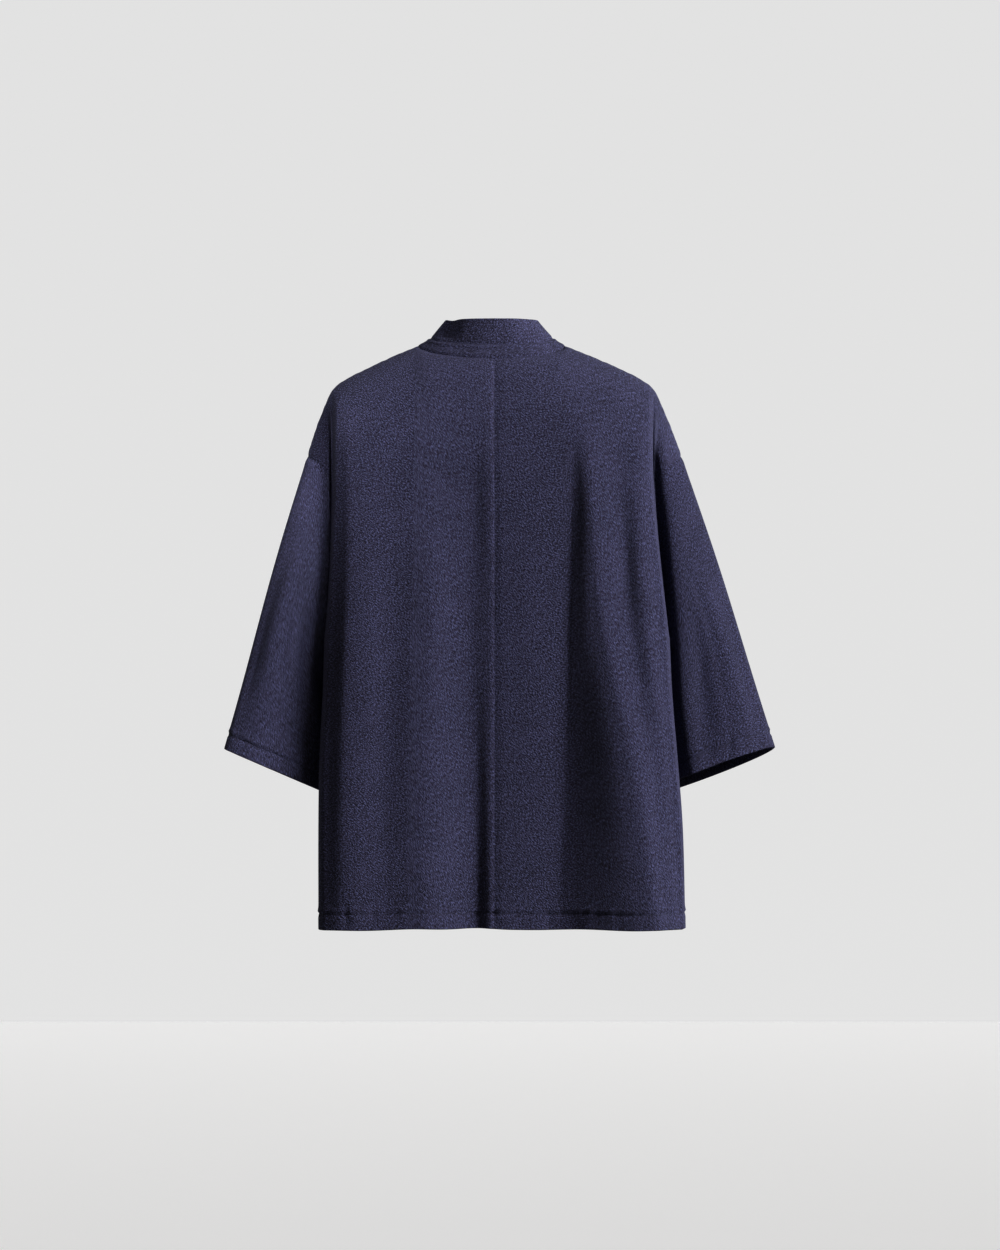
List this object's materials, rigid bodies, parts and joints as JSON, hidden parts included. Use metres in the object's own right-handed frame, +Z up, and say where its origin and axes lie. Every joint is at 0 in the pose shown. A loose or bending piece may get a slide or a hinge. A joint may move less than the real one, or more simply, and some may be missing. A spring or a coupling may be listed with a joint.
{
  "type": "haori jacket",
  "caption": "Short open-fronted haori-style jacket of navy crepe, hollow as when worn, with a standing collar band and wide three-quarter sleeves.",
  "frame": {"origin": "middle of the wearer's shoulders at the base of the neck, level with the side ends of the neck seam and on the shoulder seams' line", "axes": "+Z up from hem to collar, +Y towards the garment's back, +X towards the wearer's left"},
  "size_m": [0.7004, 0.22, 0.7683],
  "materials": {
    "navy_crepe": "matt navy crepe weave with a fine slanting fleck and a soft, heavy drape"
  },
  "bodies": {
    "root": {"back_left": "navy_crepe", "back_right": "navy_crepe", "front_left": "navy_crepe", "front_right": "navy_crepe", "sleeve_left": "navy_crepe", "sleeve_right": "navy_crepe", "collar": "navy_crepe"}
  },
  "joints": []
}
